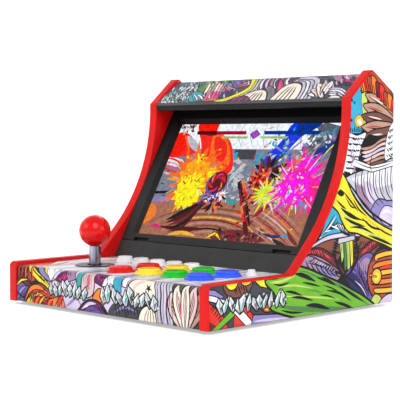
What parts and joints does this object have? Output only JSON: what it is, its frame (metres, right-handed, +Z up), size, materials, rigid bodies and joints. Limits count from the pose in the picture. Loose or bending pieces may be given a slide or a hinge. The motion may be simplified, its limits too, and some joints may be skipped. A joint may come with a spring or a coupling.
{
  "type": "bartop arcade cabinet",
  "caption": "Tabletop arcade cabinet with shaped sides, red edge trim, a tilted screen, a marquee, a ball-top joystick and round push buttons.",
  "frame": {"origin": "on the table, under the centre of the bounding box", "axes": "+Z up, +Y from the player towards the back, +X to the player's right"},
  "size_m": [0.3226, 0.302, 0.2674],
  "materials": {
    "side_laminate": "printed vinyl on painted board",
    "trim_red": "gloss",
    "dark_board": "painted black",
    "deck_print": "printed overlay on bent steel sheet",
    "bezel_dark": "fine matte",
    "visor_dark": "satin",
    "marquee_print": "printed acrylic",
    "top_black": "satin",
    "rear_black": "textured",
    "batten_wood": "raw",
    "rubber_black": "matte",
    "zinc": "zinc plated",
    "picture": "glossy, lit",
    "lcd_frame": "pressed sheet",
    "bracket_steel": "plated",
    "speaker_grey": "matte",
    "pcb_green": "solder mask",
    "component_grey": "matte",
    "jack_black": "matte",
    "port_steel": "nickel plated",
    "pot_steel": "plated",
    "knob_black": "knurled",
    "stick_mount_steel": "plated",
    "moulded_black": "moulded",
    "acetal_white": "moulded",
    "shaft_steel": "polished",
    "ball_red": "gloss",
    "washer_black": "gloss",
    "button_red": "gloss",
    "button_yellow": "gloss",
    "button_green": "gloss",
    "button_blue": "gloss",
    "button_white": "gloss",
    "switch_black": "moulded",
    "cable_black": "matte"
  },
  "bodies": {
    "cabinet": {"left_side_panel": "side_laminate", "right_side_panel": "side_laminate", "left_edge_trim": "trim_red", "right_edge_trim": "trim_red", "base_board": "dark_board", "control_deck": "deck_print", "lower_fascia": "bezel_dark", "screen_bezel": "bezel_dark", "visor": "visor_dark", "marquee_panel": "marquee_print", "top_panel": "top_black", "rear_panel": "rear_black", "side_battens": "batten_wood", "rubber_feet": "rubber_black", "lcd_screen": "picture", "lcd_module": "lcd_frame", "lcd_brackets": "bracket_steel", "speakers": "speaker_grey", "main_board": "pcb_green", "board_components": "component_grey", "power_jack": "jack_black", "usb_ports": "port_steel", "rocker_housing": "jack_black", "volume_pot": "pot_steel", "stick_plate": "stick_mount_steel", "stick_housing": "moulded_black", "stick_dust_washer": "washer_black", "stick_gate": "acetal_white", "stick_switches": "switch_black", "screws_and_nuts": "zinc", "menu_button_housings": "button_white", "button_switches": "switch_black", "wiring_harness": "cable_black", "red_button_housings": "button_red", "yellow_button_housings": "button_yellow", "green_button_housings": "button_green", "blue_button_housings": "button_blue"},
    "gimbal": {"stick_pivot_ring": "acetal_white"},
    "stick": {"stick_pivot_pin": "stick_mount_steel", "stick_shaft": "shaft_steel", "stick_sleeve": "shaft_steel", "stick_ball": "ball_red", "stick_spring": "stick_mount_steel", "stick_actuator": "acetal_white"},
    "rocker": {"power_rocker": "jack_black"},
    "knob": {"volume_knob": "knob_black"},
    "button_front_red": {"plunger_front_red": "button_red"},
    "button_front_yellow": {"plunger_front_yellow": "button_yellow"},
    "button_front_green": {"plunger_front_green": "button_green"},
    "button_front_blue": {"plunger_front_blue": "button_blue"},
    "button_back_red": {"plunger_back_red": "button_red"},
    "button_back_yellow": {"plunger_back_yellow": "button_yellow"},
    "button_back_green": {"plunger_back_green": "button_green"},
    "button_back_blue": {"plunger_back_blue": "button_blue"},
    "menu_button_1": {"menu_plunger_1": "button_white"},
    "menu_button_2": {"menu_plunger_2": "button_white"},
    "menu_button_3": {"menu_plunger_3": "button_white"},
    "menu_button_4": {"menu_plunger_4": "button_white"},
    "menu_button_5": {"menu_plunger_5": "button_white"},
    "service_button": {"service_plunger": "button_white"}
  },
  "joints": [
    {"name": "stick_tilt_y", "type": "hinge", "parent": "cabinet", "child": "gimbal", "pos_m": [-0.0829, -0.0876, 0.0358], "axis": [1, 0, 0], "range_deg": [-8, 8], "stiffness_Nm_per_rad": 0.6},
    {"name": "stick_tilt_x", "type": "hinge", "parent": "gimbal", "child": "stick", "pos_m": [-0.0829, -0.0876, 0.0358], "axis": [0, 1, 0], "range_deg": [-8, 8], "stiffness_Nm_per_rad": 0.6, "deforming": ["stick_spring"]},
    {"name": "press_front_red", "type": "slide", "parent": "cabinet", "child": "button_front_red", "axis": [0, 0, -1], "range_m": [0, 0.003], "stiffness_N_per_m": 350, "springref_m": -0.0006},
    {"name": "press_front_yellow", "type": "slide", "parent": "cabinet", "child": "button_front_yellow", "axis": [0, 0, -1], "range_m": [0, 0.003], "stiffness_N_per_m": 350, "springref_m": -0.0006},
    {"name": "press_front_green", "type": "slide", "parent": "cabinet", "child": "button_front_green", "axis": [0, 0, -1], "range_m": [0, 0.003], "stiffness_N_per_m": 350, "springref_m": -0.0006},
    {"name": "press_front_blue", "type": "slide", "parent": "cabinet", "child": "button_front_blue", "axis": [0, 0, -1], "range_m": [0, 0.003], "stiffness_N_per_m": 350, "springref_m": -0.0006},
    {"name": "press_back_red", "type": "slide", "parent": "cabinet", "child": "button_back_red", "axis": [0, 0, -1], "range_m": [0, 0.003], "stiffness_N_per_m": 350, "springref_m": -0.0006},
    {"name": "press_back_yellow", "type": "slide", "parent": "cabinet", "child": "button_back_yellow", "axis": [0, 0, -1], "range_m": [0, 0.003], "stiffness_N_per_m": 350, "springref_m": -0.0006},
    {"name": "press_back_green", "type": "slide", "parent": "cabinet", "child": "button_back_green", "axis": [0, 0, -1], "range_m": [0, 0.003], "stiffness_N_per_m": 350, "springref_m": -0.0006},
    {"name": "press_back_blue", "type": "slide", "parent": "cabinet", "child": "button_back_blue", "axis": [0, 0, -1], "range_m": [0, 0.003], "stiffness_N_per_m": 350, "springref_m": -0.0006},
    {"name": "press_menu_1", "type": "slide", "parent": "cabinet", "child": "menu_button_1", "axis": [0, 0, -1], "range_m": [0, 0.0015], "stiffness_N_per_m": 300, "springref_m": -0.0006},
    {"name": "press_menu_2", "type": "slide", "parent": "cabinet", "child": "menu_button_2", "axis": [0, 0, -1], "range_m": [0, 0.0015], "stiffness_N_per_m": 300, "springref_m": -0.0006},
    {"name": "press_menu_3", "type": "slide", "parent": "cabinet", "child": "menu_button_3", "axis": [0, 0, -1], "range_m": [0, 0.0015], "stiffness_N_per_m": 300, "springref_m": -0.0006},
    {"name": "press_menu_4", "type": "slide", "parent": "cabinet", "child": "menu_button_4", "axis": [0, 0, -1], "range_m": [0, 0.0015], "stiffness_N_per_m": 300, "springref_m": -0.0006},
    {"name": "press_menu_5", "type": "slide", "parent": "cabinet", "child": "menu_button_5", "axis": [0, 0, -1], "range_m": [0, 0.0015], "stiffness_N_per_m": 300, "springref_m": -0.0006},
    {"name": "press_service", "type": "slide", "parent": "cabinet", "child": "service_button", "axis": [0, 0, -1], "range_m": [0, 0.001], "stiffness_N_per_m": 200, "springref_m": -0.0006},
    {"name": "rocker_turn", "type": "hinge", "parent": "cabinet", "child": "rocker", "pos_m": [-0.07, 0.139, 0.064], "axis": [1, 0, 0], "range_deg": [0, 16]},
    {"name": "volume_turn", "type": "hinge", "parent": "cabinet", "child": "knob", "pos_m": [0.07, 0.139, 0.064], "axis": [0, -1, 0], "range_deg": [0, 270]}
  ]
}
